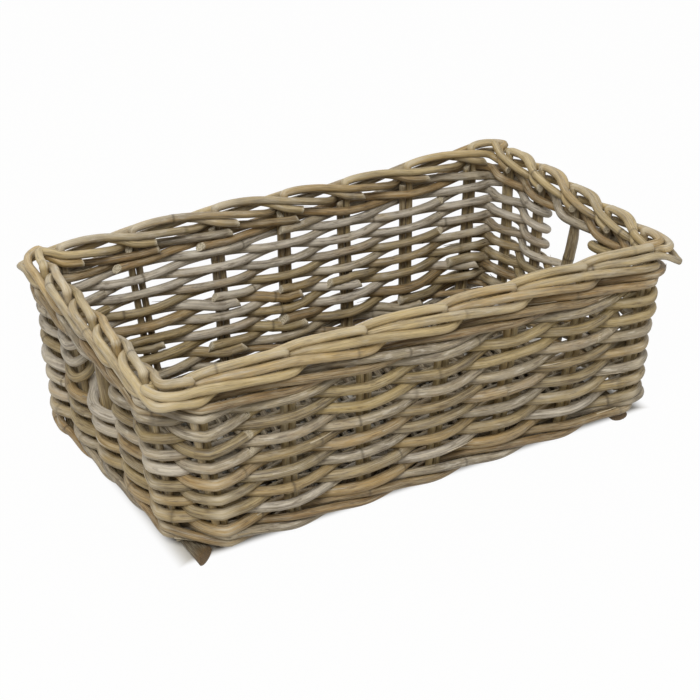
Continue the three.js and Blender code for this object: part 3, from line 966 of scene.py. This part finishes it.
FRONT_HOOK = [(0.04, 0.16, 2.58), (0.22, 0.2, 2.84), (0.48, 0.06, 2.95), (0.8, -0.62, 2.6)]
FAR_HOOK = [(0.05, 0.12, 2.44), (0.24, 0.1, 2.6), (0.55, -0.16, 2.55), (0.8, -0.74, 2.32)]
LEFT_HOOK = [(0.05, -0.02, 2.55), (0.25, -0.12, 2.74), (0.55, -0.35, 2.74), (0.8, -0.75, 2.48)]
HOOKS = [FRONT_HOOK, FAR_HOOK, FAR_HOOK, LEFT_HOOK]
BORDER_STEPS = [
    (1, -1.1, 2.0), (1.5, -1.02, 1.2), (1.8, 0, 0.5), (2, 1.14, 0.55), (2.5, 1.2, 1.15),
    (3, 1.18, 1.82), (3.4, 1.01, 2.1), (3.68, 0.3, 1.95), (3.85, -0.45, 1.55),
    (4, -1.12, 1.05), (4.25, -1.2, 0.55),
]

# The corners where a border rod sticks out in a pointed ear, with how far out it goes in
# lanes and how far its tip hangs. Its steps are on which side of the tip they lie and how
# many millimetres back.
EARS = {6.5: (1.3, 8.5 * MM), 11.5: (1.15, 4.5 * MM), 18.5: (1.35, 4.5 * MM)}
EAR_BACK = 17
EAR_STEPS = [(1, EAR_BACK), (1, 4), (0, 0), (-1, 4), (-1, EAR_BACK)]
EAR_SLOPE = 0.1
EAR_THINNING = 0.8

# How a border rod turns a corner low down, outside the others, or high up, across them:
# steps along it in stations, and the share of its usual distance out
CORNER_HOLD = 0.11
TURN_OUT = 1.17
TURN_CLIMB = 0.9
LOW_TURN = [(0.15, 1.05), (0, 1.5), (-0.15, 1.05)]
HIGH_TURN = [(0.16, 0.95), (0, 0.9), (-0.16, 0.95)]


def corner_near(place):
    """The corner that a place of the border is beside, or nothing elsewhere."""
    turned = place % STATIONS
    return next((c for c in CORNER_CUTS if abs(turned - c) < CORNER_HOLD), None)


def ear_points(corner, height):
    """The pointed bend of a border rod round a corner, from the side after it."""
    side = side_of(math.floor(corner))
    along, out = Vector(side.along), Vector(side.out)
    half_length, half_width = half_sizes(height)
    tip, drop = EARS[corner][0] * BORDER_LANE, EARS[corner][1]
    run, depth = (half_length, half_width) if side.long else (half_width, half_length)
    points = []
    for way, back in EAR_STEPS:
        plan = along * (run + tip) + out * (depth + tip)
        plan -= (out if way > 0 else along) * back * MM
        level = height - way * back * EAR_SLOPE * MM - drop * (1 - back / EAR_BACK)
        points.append(Vector((plan.x, plan.y, level)))
    return points


# How grey and how dark an upright and its twin are, and the painted shade on them below
# the border on each side: darker where the weave and the walls shade them, lighter as painted
# light on the front
STAKE_TONES = ((0.0, 0.55), (0.05, 0.4))
TWIN_TONES = ((0.0, 0.5), (0.2, 0.6))
STAKE_PAINTED_SHADES = [-0.15, 0.4, 0.35, 0.35]
PAINTED_SHADE_FADE = 12 * MM
CRACK_SHARPNESS = 4

# The turned-in foot of an upright of a long wall: how far in, and how far up from its
# lowest part
FOOT_STEPS = [(FOOT_LENGTH, 0.0), (22 * MM, 0.0), (7 * MM, 0.1 * MM), (1.4 * MM, 2 * MM)]
END_FOOT_GAP = 0.6 * MM
RIGHT_POST_BEND = (60 * MM, 70 * MM)
UPRIGHT_START = 12 * MM
TWIN_STARTS = [4 * MM, 15 * MM]
UPRIGHT_HEIGHTS = [BELLY_HEIGHT, 60 * MM, 95 * MM, 130 * MM, BORDER_FLOOR]
THINNED_HEIGHT = 140 * MM
KNUCKLE_STEPS = [(1.2, 0.0), (2.1, 0.2), (2.4, 1.0)]
HOOK_SWELL = 1.2
HOOK_SCUFF = 0.9
SCUFF_FADE = 0.5
EAR_SCUFF = 0.5
TURN_SCUFF = 0.3
KNEE_SCUFF = 0.8


def post_lean(height):
    """How far along its wall the right post has gone at a height: it leans and is bent."""
    bend, length = RIGHT_POST_BEND
    lean = RIGHT_POST_LEAN * (1 - 2 * ease((height - bend) / length))
    return lean * ease(height / bend)


def stake(station):
    side = side_of(station)
    side_index = SIDES.index(side)
    post = is_post(station)
    rng = random.Random(500 + station)
    radius = POST_RADIUS if post else STAKE_RADIUS
    border = BORDER_RADII[side_index]
    shift = 0.0 if post else -PAIR_HALF
    controls, radii, scuffs, cracks = [], [], [], []

    def put(point, size, scuff=0.0, crack=0.0):
        controls.append(settle(point))
        radii.append(size)
        scuffs.append(scuff)
        cracks.append(crack)

    if side.long:
        for back, height in FOOT_STEPS:
            put(wall_point(station, -back, FOOT_HEIGHT + height, shift), radius)
    else:
        put(wall_point(station, 0, radius + END_FOOT_GAP, shift), radius)
    for height in [UPRIGHT_START] + UPRIGHT_HEIGHTS:
        thin = radius if height < THINNED_HEIGHT else STAKE_RADIUS
        lean = post_lean(height) if station == RIGHT_POST else 0.0
        put(wall_point(station, 0, height, shift + lean), thin)
    for up, scuff in KNUCKLE_STEPS:
        put(wall_point(station, 0, BORDER_FLOOR + up * BORDER_LANE, shift * 0.5),
            border * (1 + (HOOK_SWELL - 1) * scuff), scuff * HOOK_SCUFF, scuff)
    for index, (along, out, up) in enumerate(HOOKS[side_index] + BORDER_STEPS):
        place = station - along
        height = BORDER_FLOOR + up * BORDER_LANE
        corner = corner_near(place) if out > 1 else None
        if corner is None:
            put(wall_point(place, out * BORDER_LANE, height), border,
                max(0.0, HOOK_SCUFF - index * SCUFF_FADE))
        elif corner in EARS and along < 3:
            for spot in ear_points(corner, height):
                put(spot, border * EAR_THINNING, EAR_SCUFF)
        else:
            for aside, reach in (LOW_TURN if along < 3 else HIGH_TURN):
                level = height - aside * TURN_CLIMB * BORDER_LANE
                put(wall_point(corner + aside, TURN_OUT * BORDER_LANE * reach, level),
                    border, TURN_SCUFF if aside else KNEE_SCUFF, 0.0 if aside else KNEE_SCUFF)
    line, (sizes, worn, cracked) = rounded(controls, [radii, scuffs, cracks])
    cracked = [c ** CRACK_SHARPNESS for c in cracked]
    tone = tone_from(rng, *STAKE_TONES)
    # Painted shade on the upright below the border, painted light on the front, fading out as it
    # rises into the border; the twin has it all the way up
    shade = STAKE_PAINTED_SHADES[side_index]
    painted_shades = [shade * (1 - ease((p.z - BORDER_FLOOR) / PAINTED_SHADE_FADE)) for p in line]
    canes = [Cane(line, sizes, tone, worn, painted_shades=painted_shades, cracks=cracked)]
    if not post:
        heights = TWIN_STARTS + UPRIGHT_HEIGHTS
        twin_points = [settle(wall_point(station, 0, h, -shift)) for h in heights]
        twin, (twin_sizes,) = rounded(twin_points, [[STAKE_RADIUS] * len(heights)])
        tone = tone_from(rng, *TWIN_TONES)
        canes.append(Cane(twin, twin_sizes, tone, painted_shades=[shade] * len(twin)))
    number = station - side.first + 1
    if not side.long and not post and number > 3:
        number -= 1
    label = SIDE_NAMES[side_index]
    node = f"{label}_handle_post" if post else f"{label}_stake_{number}"
    weave(node, "stake_cane", canes, 500 + station)


# Base

BASE_STEPS = 40
STICK_TONES = ((0.0, 0.2), (0.4, 0.8))
FILLER_TONES = ((0.0, 0.2), (0.5, 0.9))


def spread_evenly(end):
    """Places along a straight rod from one end to the other, with 0 in the middle."""
    return [end * (2 * i / BASE_STEPS - 1) for i in range(BASE_STEPS + 1)]


def stick(index):
    half_length = half_sizes(STICK_HEIGHT)[0]
    inner = POST_RADIUS + 2 * WALE_RADIUS + 1 * MM
    edge = 6 * MM if index in (0, BASE_STICKS - 1) else 0
    end = half_length - inner - edge
    y = stick_place(index)
    rng = random.Random(600 + index)
    points = [Vector((x, y, STICK_HEIGHT)) for x in spread_evenly(end)]
    radii = [STICK_RADIUS] * len(points)
    canes = [Cane(points, radii, tone_from(rng, *STICK_TONES))]
    weave(f"base_stick_{index + 1}", "base_cane", canes, 600 + index)


def stick_place(index):
    return BASE_HALF_WIDTH * (2 * index / (BASE_STICKS - 1) - 1)


def filler(bay):
    """A thinner cane woven to and fro across the base sticks between two pairs of feet."""
    start = wall_point(bay, 0, FOOT_HEIGHT).x + PAIR_HALF
    stop = wall_point(bay + 1, 0, FOOT_HEIGHT).x - PAIR_HALF
    step = (stop - start - 2 * FILLER_RADIUS) / (FILLER_PASSES - 1)
    bow = STICK_RADIUS + FILLER_RADIUS + TOUCH
    controls = []
    for number in range(FILLER_PASSES):
        x = start + FILLER_RADIUS + step * number
        forward = number % 2 == 0
        for count in range(BASE_STICKS):
            index = count if forward else BASE_STICKS - 1 - count
            up = 1 if (index + number) % 2 == 0 else -1
            controls.append(Vector((x, stick_place(index), STICK_HEIGHT + up * bow)))
        if number == FILLER_PASSES - 1:
            break
        y = (BASE_HALF_WIDTH + bow * 0.9) * (1 if forward else -1)
        up = 1 if ((BASE_STICKS - 1 if forward else 0) + number) % 2 == 0 else -1
        controls.append(Vector((x + step / 3, y, STICK_HEIGHT + up * bow * 0.5)))
        controls.append(Vector((x + 2 * step / 3, y, STICK_HEIGHT - up * bow * 0.5)))
    line, (sizes,) = rounded(controls, [[FILLER_RADIUS] * len(controls)], per_span=10)
    rng = random.Random(700 + bay)
    canes = [Cane(line, sizes, tone_from(rng, *FILLER_TONES))]
    weave(f"base_filler_{bay + 1}", "base_cane", canes, 700 + bay, sides=10, relief=BASE_RELIEF)


def runner(label, direction):
    """A thick rod flattened against the floor, with both cut ends showing."""
    half_length, half_width = half_sizes(RUNNER_HEIGHT / 2)
    inset = RIGHT_RUNNER_INSET if direction > 0 else 0
    x = direction * (half_length - RUNNER_GAP - RUNNER_HALF_WIDTH - inset)
    squeeze = math.sqrt(1 - RUNNER_HEIGHT / 2 / RUNNER_HALF_WIDTH)
    middle = RUNNER_HEIGHT / 2 + RUNNER_RISE
    points = [Vector((x, y, middle)) for y in spread_evenly(half_width + RUNNER_END)]
    press = [Vector((0, 0, squeeze))] * len(points)
    canes = [Cane(points, [RUNNER_HALF_WIDTH] * len(points), RUNNER_TONE, press=press)]
    weave(f"{label}_runner", "base_cane", canes, 800 + direction, sides=22, relief=BASE_RELIEF)


# Making every piece

# How many of a row's lengths are grey, from the lowest row up, and the uprights at which
# the lengths of each rod meet
GREY_SHARES = [0.4, 0.35, 0.3, 0.35, 0.3, 0.3, 0.35]
WALE_GREY_SHARE = 0.5
LOWER_WALE_START = 7
UPPER_WALE_START = 12
LOW_JOINS = [[13, 21, 5], [15, 23, 7], [17, 1, 9], [15, 23, 5]]
HIGH_JOINS = [[16, 0, 8], [12, 20, 4], [14, 22, 6], [16, 0, 8]]
UPPER_WALE_JOINS = [[16, 4], [17, 5], [15, 6]]

for row in range(FULL_ROWS):
    full_rod(row, "a", 0, LOW_JOINS[row], GREY_SHARES[row])
    full_rod(row, "b", 1, HIGH_JOINS[row], GREY_SHARES[row])
for row in range(FULL_ROWS, ROWS):
    folded_rod(row, "front", LEFT_POST + 1, 11, GREY_SHARES[row])
    folded_rod(row, "back", RIGHT_POST + 1, 11, GREY_SHARES[row] + BACK_GREYER)
for number in range(1, 4):
    lower = LOWER_WALE_START + number
    joins = [lower, (lower + HALF_ROUND) % STATIONS]
    wale("lower", number, LOWER_WALE, lower, joins, WALE_GREY_SHARE)
    joins = UPPER_WALE_JOINS[number - 1]
    wale("upper", number, UPPER_WALE, UPPER_WALE_START + number, joins, WALE_GREY_SHARE)
for station in range(STATIONS):
    stake(station)
for index in range(BASE_STICKS):
    stick(index)
for bay in range(LONG_STAKES - 1):
    filler(bay)
runner("left", -1)
runner("right", 1)


# Stage, light and camera

FLOOR_HALF = 6.0
FLOOR_GLOW_SHARE = 0.975
FOOTPRINT = (250 * MM, 143 * MM)
FOOTPRINT_EDGE = (0.96, 1.04)
WORLD_LIGHT = 0.31


def looked_at(tree):
    """1 where a place is looked at, by itself or in something glossy, and 0 as light."""
    path = add(tree, "ShaderNodeLightPath").node.outputs
    mirrored = maths(tree, "MAXIMUM", path["Is Glossy Ray"], path["Is Transmission Ray"])
    return maths(tree, "MAXIMUM", path["Is Camera Ray"], mirrored)


def make_stage():
    """A matt white floor that looks near white, and shows the shadow under the basket."""
    material = bpy.data.materials.new("matt_white_floor")
    tree = emptied(material)
    spot = add(tree, "ShaderNodeTexCoord").node.outputs["Object"]
    flat = vector_maths(tree, "MULTIPLY", spot, (1 / FOOTPRINT[0], 1 / FOOTPRINT[1], 0))
    away = vector_maths(tree, "ABSOLUTE", flat)
    parts = add(tree, "ShaderNodeSeparateXYZ", (away,)).node.outputs
    away = maths(tree, "MAXIMUM", parts["X"], parts["Y"])
    share = add(tree, "ShaderNodeMapRange",
                {"Value": away, "From Min": FOOTPRINT_EDGE[0], "From Max": FOOTPRINT_EDGE[1],
                 "To Max": FLOOR_GLOW_SHARE},
                interpolation_type="SMOOTHSTEP")
    share = maths(tree, "MULTIPLY", looked_at(tree), share)
    matt = add(tree, "ShaderNodeBsdfDiffuse", {"Color": linear("#cac6bc")})
    glow = add(tree, "ShaderNodeEmission", {"Strength": 1.0})
    mixed = add(tree, "ShaderNodeMixShader", (share, matt, glow))
    add(tree, "ShaderNodeOutputMaterial", {"Surface": mixed})
    mesh = bpy.data.meshes.new("floor")
    half = FLOOR_HALF
    mesh.from_pydata([(-half, -half, 0), (half, -half, 0), (half, half, 0), (-half, half, 0)],
                     [], [(0, 1, 2, 3)])
    mesh.materials.append(material)
    floor = placed("floor", mesh)


def make_world():
    """Plain white surroundings, softer as light than they look."""
    world = bpy.data.worlds.new("studio")
    bpy.context.scene.world = world
    tree = emptied(world)
    soft = add(tree, "ShaderNodeBackground", {"Color": (1, 1, 1, 1), "Strength": WORLD_LIGHT})
    white = add(tree, "ShaderNodeBackground", {"Color": (1, 1, 1, 1), "Strength": 1.0})
    mixed = add(tree, "ShaderNodeMixShader", (looked_at(tree), soft, white))
    add(tree, "ShaderNodeOutputWorld", {"Surface": mixed})


# Place, size in metres and power of each soft light, all turned to the basket
LIGHTS = {
    "key_light": ((-1.2, -1.35, 2.3), 1.3, 56),
    "fill_light": ((1.8, -1.2, 1.2), 1.6, 7),
    "rear_light": ((0.2, 1.7, 2.1), 1.3, 14),
}
LIT_PLACE = Vector((0, 0, 0.1))


def soft_light(name, place, size, power):
    data = bpy.data.lights.new(name, "AREA")
    data.shape = "SQUARE"
    data.size = size
    data.energy = power
    light = placed(name, data)
    light.location = place
    light.rotation_euler = (LIT_PLACE - Vector(place)).to_track_quat("-Z", "Y").to_euler()


# The photograph's camera, fitted to the straight lines of the rim and the corners. Its
# distance is in basket lengths, and its middle in the photograph's pixels.
CAMERA_LENGTH = 0.549
CAMERA_TARGET_HEIGHT = 0.16
CAMERA_AZIMUTH = -28.7
CAMERA_ELEVATION = 29
CAMERA_ROLL = -1.49
CAMERA_FAR = 3.08
CAMERA_FOCAL_PIXELS = 1733
CENTRE_X, CENTRE_Y = 350.5, 335.5
FRAME_PIXELS = 700


def make_camera():
    data = bpy.data.cameras.new("camera")
    data.sensor_width = 36
    data.lens = CAMERA_FOCAL_PIXELS / FRAME_PIXELS * data.sensor_width
    data.shift_x = (FRAME_PIXELS / 2 - CENTRE_X) / FRAME_PIXELS
    data.shift_y = (CENTRE_Y - FRAME_PIXELS / 2) / FRAME_PIXELS
    data.clip_end = 50
    azimuth, elevation = math.radians(CAMERA_AZIMUTH), math.radians(CAMERA_ELEVATION)
    roll = math.radians(CAMERA_ROLL)
    back = Vector((math.sin(azimuth) * math.cos(elevation),
                   -math.cos(azimuth) * math.cos(elevation), math.sin(elevation)))
    right = (-back).cross(Vector((0, 0, 1))).normalized()
    up = right.cross(-back)
    turned_right = right * math.cos(roll) + up * math.sin(roll)
    turned_up = up * math.cos(roll) - right * math.sin(roll)
    target = Vector((0, 0, CAMERA_TARGET_HEIGHT * CAMERA_LENGTH))
    place = target + back * CAMERA_FAR * CAMERA_LENGTH
    turn = Matrix((turned_right, turned_up, back)).transposed()
    camera = placed("camera", data)
    camera.matrix_world = Matrix.Translation(place) @ turn.to_4x4()
    bpy.context.scene.camera = camera


make_stage()
make_world()
for name, (place, size, power) in LIGHTS.items():
    soft_light(name, place, size, power)
make_camera()
bpy.context.scene.view_settings.view_transform = "Standard"

bpy.context.view_layer.update()
